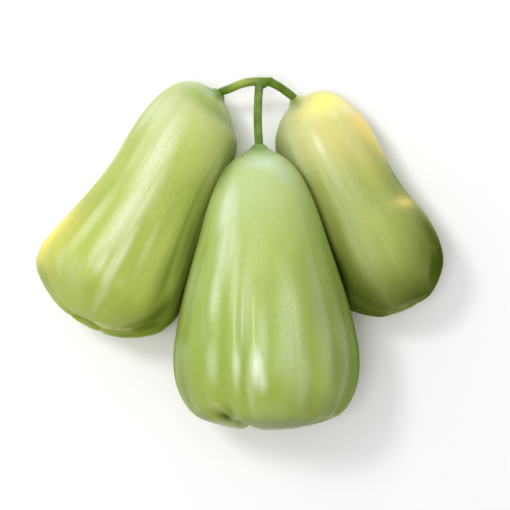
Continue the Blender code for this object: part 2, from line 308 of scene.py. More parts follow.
@dataclass
class Fruit:
    """One wax apple, described along its own axis from the stalk to the calyx."""

    name: str
    top: tuple
    yaw: float
    pitch: float
    length: float
    wall: list
    calyx: float
    clefts: list
    cleft_open: float
    seed: int
    # Grooves on the side that the photograph shows: angle, depth, width
    grooves_seen: list
    rib_strength: float = 1.0
    end_lean: float = 0.0
    tip_turn: tuple = (0.0, 0.0)
    # Single hollows and swellings: angle, depth from the top, how deep, width round, height along
    dimples: list = field(default_factory=list)
    # Spots of colour, painted light and shade: angle, depth from the top, width round, height along,
    # strength
    spots: dict = field(default_factory=dict)


MIDDLE = Fruit(
    name="fruit_middle",
    top=(1.25, 31.9, 32.3),
    yaw=1.95,
    pitch=-4.3,
    length=83.7,
    wall=[(0.5, 3.3), (2.4, 6.7), (5.4, 10.1), (9.7, 13.0), (17.5, 16.4), (27.8, 19.7), (42.3, 24.2),
          (53.2, 26.7), (62.0, 28.0), (69.5, 27.6), (75.5, 25.5), (79.8, 22.2)],
    calyx=1.0,
    clefts=[-29.0, 62.0, 148.0, -118.0],
    cleft_open=1.0,
    seed=3,
    grooves_seen=[(-64.0, 0.4, 6.0), (-44.0, 0.5, 5.0), (-28.5, 0.6, 4.5), (-14.6, 0.8, 4.2),
                  (3.5, 0.35, 6.0), (28.0, 0.6, 6.0), (46.5, 0.45, 5.0), (65.0, 0.5, 6.0)],
    end_lean=0.02,
    dimples=[(-40.0, 79.2, 2.7, 9.0, 2.6), (-52.0, 82.8, 0.8, 14.0, 2.2)],
    # Painted highlights on pale wax, a painted reflection of the sky on the top, and painted shade in the
    # calyx hollow, on the right side and beside the left fruit
    spots={
        "cool_wax_and_highlight": [(-35.5, 19.0, 10.0, 8.0, 0.75), (-32.0, 29.0, 8.5, 11.0, 0.62),
                  (-36.0, 43.0, 5.0, 8.0, 0.5), (-21.0, 38.0, 3.2, 12.0, 0.28),
                  (-35.0, 63.0, 3.5, 6.0, 0.3), (-13.0, 46.0, 3.2, 14.0, 0.25),
                  (-19.0, 64.5, 1.7, 6.0, 0.75), (-6.0, 64.5, 4.4, 5.8, 0.85),
                  (-11.0, 70.0, 2.6, 8.0, 0.25), (15.0, 54.0, 7.0, 17.0, 0.35),
                  (37.5, 52.0, 5.0, 18.0, 0.25), (55.0, 58.0, 5.0, 15.0, 0.15),
                  (-60.0, 42.0, 8.0, 9.0, 0.25), (21.0, 68.0, 5.0, 9.0, 0.25),
                  (0.0, 79.0, 20.0, 5.0, 0.1), (-42.0, 51.0, 3.6, 7.0, 0.15),
                  (-2.2, 56.5, 3.0, 8.0, 0.32), (-3.0, 68.0, 2.6, 3.6, 0.7)],
        "sky_reflection": [(10.0, 5.0, 36.0, 2.4, 0.6), (31.0, 8.0, 15.0, 4.0, 0.45),
                  (-10.0, 15.0, 40.0, 10.0, 0.16)],
        "stem": [(0.0, -0.6, 400.0, 3.0, 1.0), (-66.0, 6.0, 26.0, 5.0, 0.5),
                 (80.0, 4.0, 30.0, 3.0, 0.4)],
        "shade": [(-38.5, 79.3, 8.0, 1.9, 0.9), (-29.0, 81.6, 6.0, 2.4, 0.5),
                  (-29.5, 78.0, 3.6, 2.2, 0.45), (-14.6, 62.0, 2.6, 9.0, 0.16),
                  (29.0, 39.6, 0.8, 0.5, 0.5), (84.0, 56.0, 32.0, 38.0, 0.5),
                  (-92.0, 66.0, 18.0, 20.0, 0.3), (52.0, 48.0, 11.0, 26.0, 0.42),
                  (36.0, 48.0, 9.0, 20.0, 0.36), (-64.0, 71.0, 11.0, 10.0, 0.32),
                  (52.0, 27.0, 14.0, 12.0, 0.2), (54.0, 79.0, 34.0, 9.0, 0.38),
                  (-60.0, 2.0, 40.0, 4.0, 0.3), (50.0, 63.0, 13.0, 14.0, 0.42),
                  (24.0, 82.0, 70.0, 3.0, 0.52), (-60.0, 80.0, 14.0, 3.0, 0.35),
                  (-72.0, 24.0, 7.0, 9.0, 0.25), (-70.0, 7.0, 20.0, 7.0, 0.45)],
        "scar": [(-37.0, 75.4, 3.0, 0.4, 0.5), (-44.0, 76.2, 2.0, 0.4, 0.4),
                 (-34.0, 82.6, 3.0, 0.7, 0.6), (-21.0, 83.3, 4.0, 0.7, 0.6),
                 (69.0, 80.6, 8.0, 0.8, 0.35)],
    },
)
LEFT = Fruit(
    name="fruit_left",
    top=(-13.3, 53.5, 13.2),
    yaw=-26.8,
    pitch=8.2,
    length=83.7,
    wall=[(0.3, 3.2), (1.8, 7.0), (4.4, 10.4), (8.3, 13.1), (14.5, 15.7), (23.0, 16.8), (34.0, 17.2),
          (44.0, 18.5), (54.0, 20.6), (62.5, 22.5), (69.5, 23.8), (75.0, 22.4), (79.0, 18.0),
          (81.6, 13.6)],
    calyx=0.66,
    clefts=[68.0, 152.0, -124.0, -62.0],
    cleft_open=0.35,
    seed=11,
    grooves_seen=[(-39.0, 0.6, 6.0), (-22.0, 0.5, 5.0), (-2.5, 0.25, 3.5), (11.0, 0.55, 6.0),
                  (28.0, 0.3, 6.0), (50.0, 0.7, 7.0), (68.0, 0.2, 7.0), (86.0, 0.25, 7.0)],
    rib_strength=0.9,
    end_lean=-0.005,
    tip_turn=(-20.0, 12.0),
    dimples=[(88.0, 76.0, 1.5, 25.0, 7.0), (92.0, 8.5, -0.7, 35.0, 5.0)],
    # Painted highlights on pale wax, a painted reflection of the sky on the top, painted sunlight on ripe
    # yellow at the left, and painted shade on the right side and low down
    spots={
        "cool_wax_and_highlight": [(-34.0, 16.0, 12.0, 8.0, 0.45), (-52.0, 18.0, 9.0, 7.0, 0.5)],
        "warm_wax_and_highlight": [(-12.0, 31.0, 12.5, 16.0, 0.68), (-32.0, 29.0, 8.0, 12.0, 0.35),
                  (50.0, 24.0, 10.0, 8.0, 0.2), (1.0, 42.0, 8.0, 11.0, 0.35),
                  (-8.0, 40.0, 7.0, 10.0, 0.6), (-7.0, 52.0, 9.0, 16.0, 0.68),
                  (1.5, 48.0, 3.4, 13.0, 0.6), (4.6, 65.0, 3.6, 12.0, 0.65),
                  (-6.0, 66.0, 2.6, 7.0, 0.45), (-12.0, 64.0, 3.6, 8.0, 0.5), (6.0, 77.0, 4.0, 5.0, 0.3),
                  (-22.0, 75.0, 12.0, 5.0, 0.2), (-31.0, 58.0, 5.0, 14.0, 0.35),
                  (20.5, 58.5, 2.6, 7.0, 0.19), (-4.0, 68.5, 3.0, 4.0, 0.55),
                  (-37.0, 73.0, 6.0, 4.0, 0.3)],
        "sky_reflection": [(-40.0, 5.0, 16.0, 1.8, 0.45), (-12.0, 2.3, 22.0, 1.3, 0.6)],
        "blush_and_sunlight": [(-70.0, 65.0, 25.0, 12.0, 0.95), (-95.0, 58.0, 40.0, 22.0, 0.4),
                  (-75.0, 40.0, 14.0, 14.0, 0.3)],
        "stem": [(0.0, -1.0, 400.0, 2.4, 1.0), (45.0, 6.0, 40.0, 4.0, 0.45),
                 (-12.0, 4.4, 26.0, 2.0, 0.16), (-74.0, 79.0, 20.0, 3.0, 0.3)],
        "fresh": [(-5.0, 6.0, 28.0, 2.8, 0.56)],
        "shade": [(56.0, 74.0, 8.0, 9.0, 0.84), (82.0, 66.0, 28.0, 24.0, 0.48),
                  (66.0, 77.6, 16.0, 4.6, 0.74), (-52.0, 60.0, 14.0, 14.0, 0.2),
                  (82.0, 30.0, 16.0, 22.0, 0.4), (48.0, 78.0, 22.0, 5.0, 0.2),
                  (-2.0, 8.0, 50.0, 7.0, 0.22), (44.0, 66.0, 9.0, 12.0, 0.38),
                  (17.0, 65.0, 5.0, 10.0, 0.14), (56.0, 52.0, 5.0, 17.0, 0.5),
                  (-68.0, 78.0, 16.0, 3.0, 0.25)],
        "scar": [(30.0, 83.6, 12.0, 0.5, 0.7), (46.0, 83.3, 12.0, 0.6, 0.6),
                 (56.0, 82.2, 4.0, 0.7, 0.55), (60.0, 81.1, 4.0, 0.7, 0.35)],
    },
)
RIGHT = Fruit(
    name="fruit_right",
    top=(14.1, 51.1, 13.45),
    yaw=25.8,
    pitch=5.6,
    length=74.2,
    wall=[(0.4, 3.2), (2.2, 8.0), (6.0, 11.9), (12.0, 14.7), (19.0, 15.8), (33.0, 15.7), (43.0, 16.7),
          (50.0, 18.5), (55.5, 19.4), (61.0, 19.3), (66.0, 17.3), (70.3, 13.3)],
    calyx=0.52,
    clefts=[52.0, 135.0, -140.0, -48.0],
    cleft_open=0.35,
    seed=7,
    grooves_seen=[(-20.0, 0.25, 7.0), (-1.0, 0.15, 6.0), (20.0, 0.2, 7.0), (45.0, 0.3, 7.0)],
    rib_strength=0.6,
    end_lean=0.05,
    tip_turn=(14.0, 16.0),
    dimples=[(-55.0, 70.0, 0.5, 28.0, 5.0), (60.0, 6.0, 0.7, 35.0, 6.0), (85.0, 61.0, 0.9, 25.0, 8.0),
             (-95.0, 6.0, -0.6, 35.0, 4.0)],
    # Painted highlights, a painted reflection of the sky, painted sunlight on ripe yellow and peach at the
    # top, and painted shade beside the middle fruit and on the lower right
    spots={
        "cool_wax_and_highlight": [(52.0, 11.0, 17.0, 5.6, 0.9), (-46.0, 19.0, 18.0, 9.0, 0.36),
                  (25.0, 22.0, 14.0, 8.0, 0.18), (-10.6, 19.4, 4.4, 4.8, 0.65),
                  (-14.0, 20.0, 16.0, 12.0, 0.15), (-20.0, 52.0, 10.0, 16.0, 0.12)],
        "sky_reflection": [(-6.0, 26.0, 26.0, 18.0, 0.12)],
        "blush_and_sunlight": [(38.0, 6.0, 48.0, 6.0, 0.9), (75.0, 22.0, 26.0, 9.0, 0.7),
                  (10.0, 16.0, 40.0, 12.0, 0.15), (35.0, 30.0, 20.0, 9.0, 0.15)],
        "peach_and_sunlight": [(14.0, 20.0, 38.0, 9.0, 0.24), (60.0, 18.0, 28.0, 6.5, 0.9),
                  (80.0, 24.0, 22.0, 7.0, 0.5), (50.0, 46.5, 16.0, 2.0, 0.75)],
        "stem": [(-20.0, -1.0, 60.0, 2.6, 0.9), (-68.0, 8.0, 22.0, 6.0, 0.36)],
        "shade": [(64.0, 66.0, 30.0, 12.0, 0.95), (110.0, 66.0, 50.0, 14.0, 0.6),
                  (38.0, 61.0, 20.0, 11.0, 0.55), (40.0, 75.0, 90.0, 7.0, 0.8),
                  (-74.0, 57.0, 44.0, 24.0, 1.0), (-50.0, 61.0, 26.0, 19.0, 0.9),
                  (55.0, 59.0, 18.0, 10.0, 0.85), (-38.0, 40.0, 5.0, 11.0, 0.3),
                  (74.0, 38.0, 22.0, 8.0, 0.42),
                  (52.0, 40.0, 16.0, 8.0, 0.28), (50.0, 67.0, 16.0, 8.0, 0.9)],
    },
)
# Fruits that touch: the point where they meet and the direction from the first to the second
CONTACTS = [
    (MIDDLE, RIGHT, (22.2, -3.5, 21.0), (0.899, 0.325, -0.292)),
    (MIDDLE, LEFT, (-18.3, -1.0, 26.0), (-0.939, 0.282, -0.196)),
]

# The stalk's fork, and each pedicel's way from it to its fruit
FORK = np.array((1.9, 55.2, 21.0))
# Sections of the swollen fork, from the flat cut down: height along +Y, half width, half thickness
FORK_SECTIONS = [(1.15, 3.6, 1.5), (0.7, 3.9, 1.7), (-0.4, 3.5, 1.75), (-1.4, 2.2, 1.6), (-2.3, 1.1, 1.1)]
PEDICELS = {
    "fruit_left": [(-7.9, 53.5, 18.0), (-4.2, 54.6, 20.0), (-0.6, 55.2, 21.0)],
    "fruit_middle": [(0.85, 41.0, 28.6), (1.0, 48.5, 24.8), (1.35, 53.6, 21.6)],
    "fruit_right": [(10.6, 52.2, 17.0), (7.2, 54.1, 19.2), (3.9, 55.3, 20.7)],
}
PEDICEL_RADIUS = 1.3
PEDICEL_ENDS = 1.42
# How suddenly a pedicel widens towards its ends
PEDICEL_FLARE = 3
# How far a pedicel runs straight on above its fruit
PEDICEL_STRAIGHT = 1.3


def smooth(value):
    """0 below 0, 1 above 1 and an even slope between."""
    value = np.clip(value, 0.0, 1.0)
    return value * value * (3.0 - 2.0 * value)


def turned(angle):
    """The angle in degrees between -180 and 180."""
    return (angle + 180.0) % 360.0 - 180.0


def bump(distance, width):
    """A bell: 1 at no distance and almost 0 from twice the width on."""
    return np.exp(-((distance / width) ** 2))


def on_curve(points, places):
    """Points of the smooth curve through these points, at these places along it."""
    points = np.asarray(points, float)
    last = len(points) - 1
    start = np.minimum(np.asarray(places, float).astype(int), last - 1)
    part = (places - start)[:, None]
    before, here, ahead, after = (points[np.clip(start + step, 0, last)] for step in (-1, 0, 1, 2))
    return 0.5 * (2.0 * here + (ahead - before) * part
                  + (2.0 * before - 5.0 * here + 4.0 * ahead - after) * part**2
                  + (3.0 * here - before - 3.0 * ahead + after) * part**3)


def placement(fruit):
    """The turn and the shift from the fruit's own frame to the bunch's."""
    yaw = Matrix.Rotation(math.radians(fruit.yaw), 3, "Z")
    pitch = Matrix.Rotation(math.radians(-fruit.pitch), 3, "X")
    return np.array(yaw @ pitch), np.array(fruit.top) + CENTRE


def grooves(fruit):
    """Every groove round the fruit as its angle, its depth and its width."""
    draw = random.Random(fruit.seed)
    first, last = fruit.grooves_seen[0][0], fruit.grooves_seen[-1][0]
    room = 360.0 - (last - first)
    count = round(room / GROOVE_SPACING) - 1
    hidden = [(last + room * (step + 1) / (count + 1) + draw.uniform(-GROOVE_JITTER, GROOVE_JITTER),
               draw.uniform(*GROOVE_SINK) * fruit.rib_strength, draw.uniform(*GROOVE_WIDTH))
              for step in range(count)]
    return fruit.grooves_seen + hidden


def sunk(fruit, angle, depth):
    """How far the grooves sink the wall, and how far the single hollows do."""
    along = depth / fruit.length
    ribs = smooth((along - GROOVES_START) / (GROOVES_FULL - GROOVES_START))
    ribs = ribs * (1.0 - GROOVES_LOSS * smooth((along - GROOVES_FADE) / (1.0 - GROOVES_FADE)))
    total = sum(sink * ribs * bump(turned(angle - middle), width) for middle, sink, width in grooves(fruit))
    divisions = smooth((along - DIVISIONS_START) / (DIVISIONS_FULL - DIVISIONS_START))
    divisions = divisions * DIVISION_SINK * fruit.calyx * fruit.cleft_open
    total = total + sum(divisions * bump(turned(angle - cleft), DIVISION_WIDTH) for cleft in fruit.clefts)
    hollow = sum(sink * bump(turned(angle - middle), width) * bump(depth - down, height)
                 for middle, down, sink, width, height in fruit.dimples)
    return total, hollow


def fine_ribs(fruit, angle, depth):
    """The small uneven ridges along the skin, in millimetres."""
    draw = random.Random(fruit.seed + FINE_RIBS_SEED)
    turn = np.radians(angle)
    total = np.zeros_like(depth)
    for count, height in FINE_RIBS:
        sway = draw.uniform(*FINE_RIB_SWAY) * depth
        phase = draw.uniform(0.0, math.tau) + np.sin(sway) * FINE_RIB_BEND
        total = total + height * np.sin(count * turn + phase)
    return total * smooth((depth / fruit.length - FINE_RIBS_START) / FINE_RIBS_RISE)


def spun(points, angle, first, second):
    """Points turned by these angles in the plane of two axes, from the first towards the second."""
    cosine, sine = np.cos(np.radians(angle)), np.sin(np.radians(angle))
    out = points.copy()
    out[..., first] = points[..., first] * cosine - points[..., second] * sine
    out[..., second] = points[..., first] * sine + points[..., second] * cosine
    return out


def turn_tip(fruit, points):
    """Leans the top of the fruit towards its stalk."""
    pivot = np.array(TIP_PIVOT)
    share = 1.0 - smooth(-points[..., 1] / TIP_REACH)
    plan, lift = fruit.tip_turn
    return pivot + spun(spun(points - pivot, lift * share, 1, 2), plan * share, 0, 1)


def softly_above(room, softness):
    """The room left, which shrinks towards zero but never passes it."""
    return softness * np.logaddexp(0.0, room / softness)


def press(fruit, points):
    """Flattens the fruit softly where it meets a neighbour and where it rests on the surface."""
    for first, second, meeting, direction in CONTACTS:
        if fruit not in (first, second):
            continue
        away = np.array(direction) / np.linalg.norm(direction) * (1.0 if fruit is first else -1.0)
        room = (np.array(meeting) + CENTRE - points) @ away - GAP / 2.0
        points = points + away * (room - softly_above(room, PRESS_SOFTNESS))[..., None]
    height = points[..., 2]
    rested = np.where(height < REST_REACH, softly_above(height, REST_SOFTNESS), height)
    return np.concatenate([points[..., :2], rested[..., None]], axis=-1)


def outline_stations(fruit):
    """The outline down a lobe and down a cleft, and the place on it where the wall ends.

    Each of its points is the depth and the radius down a lobe, and the depth and the radius down a cleft.
    """
    size = fruit.calyx
    plain = COLLAR + fruit.wall
    stations = [(depth, radius, depth, radius) for depth, radius in plain]
    for (lobe_height, lobe_radius), (cleft_height, cleft_radius) in zip(LOBE, CLEFT):
        stations.append((fruit.length - lobe_height * size, lobe_radius * size,
                         fruit.length - cleft_height * size, cleft_radius * size))
    return np.array(stations), len(plain) - 1


def mesh_rows(stations, wall_end):
    """Where along the outline each row of the mesh lies."""
    collar_end = len(COLLAR)
    return np.concatenate([
        np.linspace(0.0, collar_end, NECK_ROWS, endpoint=False),
        np.linspace(collar_end, wall_end, WALL_ROWS, endpoint=False),
        np.linspace(wall_end, len(stations) - 1 - SHORT_OF_AXIS, CALYX_ROWS),
    ])


def in_cleft(fruit, angle, past):
    """How far each place lies in a cleft between two lobes, from 0 to 1."""
    inside = smooth(past / CLEFTS_OPEN_OVER)
    width = CLEFT_WIDTH_OUTSIDE + (CLEFT_WIDTH_INSIDE - CLEFT_WIDTH_OUTSIDE) * inside
    cleft = np.max([bump(turned(angle - middle), width) for middle in fruit.clefts], axis=0)
    return cleft * (fruit.cleft_open + (1.0 - fruit.cleft_open) * inside)


def patches(spots, angle, depth, edge):
    """How strongly each place lies in one of these spots, from 0 to 1."""
    total = np.zeros_like(depth)
    for middle, down, wide, high, strength in spots:
        apart = np.hypot(turned(angle - middle) / wide, (depth - down) / high)
        total = np.maximum(total, strength * np.exp(-(apart**edge)))
    return total


def skin_marks(fruit, angle, depth, past, cleft, groove, outer):
    """What the skin's material needs to know of each place."""
    whole = np.ones_like(depth)
    turn = np.radians(angle)
    marks = {
        "groove": np.clip(groove / GROOVE_DEEP, 0.0, 1.0) * outer,
        "along": np.clip(depth / fruit.length, 0.0, 1.0),
        "cup": smooth((past - CUP_START) / CUP_RISE) * whole,
        "rim": bump(past - RIM_PLACE, RIM_WIDTH) * (1.0 - RIM_LOSS * cleft),
        "under": smooth((np.abs(turned(angle)) - UNDER_START) / UNDER_RISE) * whole,
        "spoke": np.stack([SPOKE * np.sin(turn) * whole, -depth, SPOKE * np.cos(turn) * whole], axis=-1),
    }
    for kind in SPOT_COLOURS:
        strength = patches(fruit.spots.get(kind, []), angle, depth, SPOT_EDGES.get(kind, BELL_EDGE))
        marks[kind] = strength * (outer + (1.0 - outer) * SPOT_CALYX_SHARES.get(kind, 0.0))
    return marks


def fruit_skin(fruit):
    """Rows of points down the fruit, in the bunch and in its own frame, and the marks of each."""
    stations, wall_end = outline_stations(fruit)
    places = mesh_rows(stations, wall_end)
    outline = on_curve(stations, places)
    angle = np.linspace(0.0, 360.0, AROUND, endpoint=False)[None, :]
    # By how many of its points each place on the outline lies past the calyx's first one
    past = places[:, None] - wall_end - 1.0
    cleft = in_cleft(fruit, angle, past)
    outer = 1.0 - smooth(past / RIBS_FADE_OVER)
    depth = outline[:, 0:1] + (outline[:, 2:3] - outline[:, 0:1]) * cleft
    radius = outline[:, 1:2] + (outline[:, 3:4] - outline[:, 1:2]) * cleft
    groove, hollow = sunk(fruit, angle, depth)
    radius = radius - (groove + hollow) * outer + fine_ribs(fruit, angle, depth) * outer
    across = radius * np.sin(np.radians(angle))
    lean = fruit.end_lean * across * smooth(2.0 * depth / fruit.length - 1.0)
    grown = np.stack([across, -depth - lean, radius * np.cos(np.radians(angle))], axis=-1)
    turn, shift = placement(fruit)
    points = press(fruit, turn_tip(fruit, grown) @ turn.T + shift)
    return points, grown, skin_marks(fruit, angle, depth, past, cleft, groove, outer)


def grid_faces(rows, columns):
    """Quads between rings of vertices that close round the axis."""
    faces = []
    for row in range(rows - 1):
        for step in range(columns):
            after = (step + 1) % columns
            faces.append((row * columns + step, (row + 1) * columns + step,
                          (row + 1) * columns + after, row * columns + after))
    return faces


def capped_faces(rows, columns):
    """The same with a flat end on the first and the last ring."""
    last = (rows - 1) * columns
    return grid_faces(rows, columns) + [tuple(range(columns)), tuple(range(last, last + columns))[::-1]]


def mesh_object(name, points, faces, marks, look, node):
    """A smooth piece in metres with its named marks, its material and its place in the frame."""
    data = bpy.data.meshes.new(name)
    data.from_pydata((np.asarray(points) * MM).tolist(), [], faces)
    for mark, values in marks.items():
        kind, part = ("FLOAT_VECTOR", "vector") if values.ndim == 2 else ("FLOAT", "value")
        layer = data.attributes.new(mark, kind, "POINT")
        layer.data.foreach_set(part, np.ascontiguousarray(values, np.float32).ravel())
    data.materials.append(look)
    data.shade_smooth()
    data.update()
    made = bpy.data.objects.new(name, data)
    bpy.context.scene.collection.objects.link(made)
    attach(made, "root")
    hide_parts(node)


def make_fruit(fruit, look):
    """The skin of one fruit, closed at both ends of its axis."""
    points, grown, marks = fruit_skin(fruit)
    rows, columns = points.shape[:2]
    faces = grid_faces(rows, columns)
    points = points.reshape(-1, 3)
    grown = grown.reshape(-1, 3)
    marks = {mark: values.reshape(len(points), -1).squeeze() for mark, values in marks.items()}
    first = list(range(columns))
    last = list(range(len(points) - columns, len(points)))
    # A fan of triangles round a hub in the middle closes each end
    for ring in (first, last):
        hub = len(points)
        points = np.vstack([points, points[ring].mean(axis=0)])
        grown = np.vstack([grown, grown[ring].mean(axis=0)])
        marks = {mark: np.concatenate([values, values[ring[:1]]]) for mark, values in marks.items()}
        pairs = zip(ring, ring[1:] + ring[:1])
        faces += [(here, after, hub) if ring is first else (after, here, hub) for here, after in pairs]
    marks["grown"] = grown
    mesh_object(fruit.name + "_skin", points, faces, marks, look, fruit.name)


def tube(path, radii, sides):
    """Points and faces of a round solid along a path."""
    points = []
    for index, point in enumerate(path):
        ahead = path[min(index + 1, len(path) - 1)] - path[max(index - 1, 0)]
        side = np.cross(ahead, (0.0, 0.0, 1.0))
        side = side / np.linalg.norm(side)
        rise = np.cross(side, ahead)
        rise = rise / np.linalg.norm(rise)
        for turn in np.linspace(0.0, math.tau, sides, endpoint=False):
            points.append(point + (side * math.cos(turn) + rise * math.sin(turn)) * radii[index])
    return points, capped_faces(len(path), sides)


def pedicel(fruit):
    """Points and faces of one pedicel, from inside its fruit to the fork."""
    turn, shift = placement(fruit)
    seats = np.array([(0.0, height, 0.0) for height in (GAP - SOCKET_DEPTH, 0.0, PEDICEL_STRAIGHT)])
    seats = turn_tip(fruit, seats) @ turn.T + shift
    stations = np.vstack([seats, np.array(PEDICELS[fruit.name]) + CENTRE])
    share = np.linspace(0.0, 1.0, STALK_ROWS + 1)
    path = on_curve(stations, (len(stations) - 1) * share)
    flare = np.abs(2.0 * share - 1.0) ** PEDICEL_FLARE
    return tube(path, PEDICEL_RADIUS + (PEDICEL_ENDS - PEDICEL_RADIUS) * flare, STALK_SIDES)


def swollen_fork():
    """Points and faces of the fork with its flat cut."""
    points = [FORK + CENTRE + (width * math.cos(turn), height, thickness * math.sin(turn))
              for height, width, thickness in FORK_SECTIONS
              for turn in np.linspace(0.0, math.tau, FORK_SIDES, endpoint=False)]
    return points, capped_faces(len(FORK_SECTIONS), FORK_SIDES)


def joined(solids):
    """The points and the faces of several solids in one list each."""
    points, faces = [], []
    for new_points, new_faces in solids:
        start = len(points)
        points.extend(new_points)
        faces.extend(tuple(start + corner for corner in face) for face in new_faces)
    return points, faces


def grown_together(points, faces):
    """One smooth surface round solids that overlap."""
    rough = bpy.data.meshes.new("stalk_rough")
    rough.from_pydata((np.array(points) * MM).tolist(), [], faces)
    helper = bpy.data.objects.new("stalk_rough", rough)
    bpy.context.scene.collection.objects.link(helper)
    remesh = helper.modifiers.new("grow_together", "REMESH")
    remesh.mode = "VOXEL"
    remesh.voxel_size = STALK_VOXEL * MM
    soften = helper.modifiers.new("soften", "SMOOTH")
    soften.factor = SOFTEN_SHARE
    soften.iterations = SOFTEN_ROUNDS
    shaped = helper.evaluated_get(bpy.context.evaluated_depsgraph_get()).to_mesh()
    shaped_points = np.empty(len(shaped.vertices) * 3)
    shaped.vertices.foreach_get("co", shaped_points)
    shaped_faces = [tuple(face.vertices) for face in shaped.polygons]
    bpy.data.objects.remove(helper)
    return shaped_points.reshape(-1, 3) / MM, shaped_faces


def bark_marks(points):
    """What the bark's material needs to know of each place: where it is cut and where it is riper."""
    across, height = (points - FORK - CENTRE)[:, :2].T
    cut = smooth((height - CUT_HEIGHT) / CUT_HEIGHT_EDGE)
    cut = cut * smooth((CUT_HALF_WIDTH - np.abs(across - CUT_MIDDLE)) / CUT_SIDE_EDGE)
    elbow = bump(np.hypot(across - RIPE_ELBOW[0], height - RIPE_ELBOW[1]), RIPE_ELBOW_WIDTH)
    lower = smooth((across - RIPE_SIDE) / RIPE_SIDE_EDGE) * bump(height - RIPE_HEIGHT, RIPE_HEIGHT_WIDTH)
    return {"cut": cut, "ripe": np.clip(elbow + lower, 0.0, 1.0), "grown": points}


def make_stalk(look):
    """The forked stalk, grown together into one smooth piece."""
    solids = [pedicel(fruit) for fruit in (LEFT, MIDDLE, RIGHT)] + [swollen_fork()]
    points, faces = grown_together(*joined(solids))
    mesh_object("stalk_bark", points, faces, bark_marks(points), look, "stalk")


def srgb(red, green, blue):
    """A display colour as the light it stands for."""
    return tuple(((part / 255.0 + 0.055) / 1.055) ** 2.4 for part in (red, green, blue)) + (1.0,)


class Tree:
    """Short ways to add nodes to a material, which take numbers, colours and other nodes' outputs."""

    # The mix node's sockets for colours, which share their names with its sockets for numbers
    FIRST_COLOUR = 6
    SECOND_COLOUR = 7
    MIXED_COLOUR = 2

    def __init__(self, name):
        self.made = bpy.data.materials.new(name)
        self.made.use_nodes = True
        self.nodes = self.made.node_tree.nodes
        self.links = self.made.node_tree.links
        self.shader = self.nodes["Principled BSDF"]

    def put(self, socket, value):
        if isinstance(value, bpy.types.NodeSocket):
            self.links.new(value, socket)
        else:
            socket.default_value = value

    def surface(self, name, value):
        """Gives the surface one of its properties."""
        self.put(self.shader.inputs[name], value)

    def mark(self, name, output="Fac"):
        """What a vertex says of its place under this name."""
        node = self.nodes.new("ShaderNodeAttribute")
        node.attribute_name = name
        return node.outputs[output]

    def math(self, operation, first, second, clamp=False):
        node = self.nodes.new("ShaderNodeMath")
        node.operation = operation
        node.use_clamp = clamp
        self.put(node.inputs[0], first)
        self.put(node.inputs[1], second)
        return node.outputs[0]

    def product(self, first, *others):
        for other in others:
            first = self.math("MULTIPLY", first, other)
        return first

    def scaled(self, vector, scale):
        node = self.nodes.new("ShaderNodeVectorMath")
        node.operation = "MULTIPLY"
        self.put(node.inputs[0], vector)
        node.inputs[1].default_value = scale
        return node.outputs[0]

    def noise(self, place, pattern):
        """Soft clouds or streaks from 0 to 1, as the pattern says."""
        scale, detail, roughness = pattern
        node = self.nodes.new("ShaderNodeTexNoise")
        self.put(node.inputs["Vector"], self.scaled(place, scale))
        node.inputs["Scale"].default_value = 1.0
        node.inputs["Detail"].default_value = detail
        node.inputs["Roughness"].default_value = roughness
        return node.outputs["Fac"]

    def pores(self, place, scale):
        """How far each place is from the nearest of many scattered points."""
        node = self.nodes.new("ShaderNodeTexVoronoi")
        self.put(node.inputs["Vector"], self.scaled(place, scale))
        node.inputs["Scale"].default_value = 1.0
        return node.outputs["Distance"]

    def between(self, value, low, high, first=0.0, last=1.0):
        """A smooth step from first at low to last at high, where low may be the higher of the two."""
        if low > high:
            low, high, first, last = high, low, last, first
        node = self.nodes.new("ShaderNodeMapRange")
        node.interpolation_type = "SMOOTHSTEP"
        self.put(node.inputs["Value"], value)
        node.inputs["From Min"].default_value = low
        node.inputs["From Max"].default_value = high
        node.inputs["To Min"].default_value = first
        node.inputs["To Max"].default_value = last
        return node.outputs[0]

    def mix(self, share, first, second):
        """The first colour with a share of the second over it."""
        node = self.nodes.new("ShaderNodeMix")
        node.data_type = "RGBA"
        self.put(node.inputs["Factor"], share)
        self.put(node.inputs[self.FIRST_COLOUR], first)
        self.put(node.inputs[self.SECOND_COLOUR], second)
        return node.outputs[self.MIXED_COLOUR]

    def relief(self, height, distance, strength):
        """Gives the surface fine relief."""
        node = self.nodes.new("ShaderNodeBump")
        node.inputs["Distance"].default_value = distance
        node.inputs["Strength"].default_value = strength
        self.put(node.inputs["Height"], height)
        self.surface("Normal", node.outputs["Normal"])


def skin_layers(tree, skin, place, along, grain):
    """The colours over the skin's ground, from the lowest up: how much each covers, and the colour."""
    spoke = tree.mark("spoke", "Vector")
    groove = tree.mark("groove")
    pale = tree.product(tree.between(tree.noise(spoke, STREAKS), *STREAK_STEP), skin.streaky,
                        tree.math("SUBTRACT", 1.0, groove), tree.between(along, *STREAK_REACH))
    pale = tree.math("MAXIMUM", pale, tree.between(along, *TOP_REACH), clamp=True)
    clouds = tree.between(tree.noise(place, CLOUDS), *CLOUD_STEP)
    specks = tree.product(tree.between(grain, *SPECK_STEP), tree.between(along, *SPECK_REACH))
    pores = tree.between(tree.pores(place, PORES), *PORE_STEP)
    return [
        (pale, skin.pale),
        (tree.product(clouds, CLOUD_SHARE), skin.deep),
        (tree.product(tree.between(groove, *GROOVE_STEP), GROOVE_SHARE), skin.deep),
        (tree.product(tree.between(along, *END_REACH), END_SHARE), skin.end),
        (tree.product(specks, SPECK_SHARE), skin.pale),
        (tree.product(pores, PORE_SHARE), skin.deep),
        # Painted shade: darker green towards the sides and the underside
        (tree.product(tree.mark("under"), UNDERSIDE_SHADE_SHARE), skin.deep),
    ]


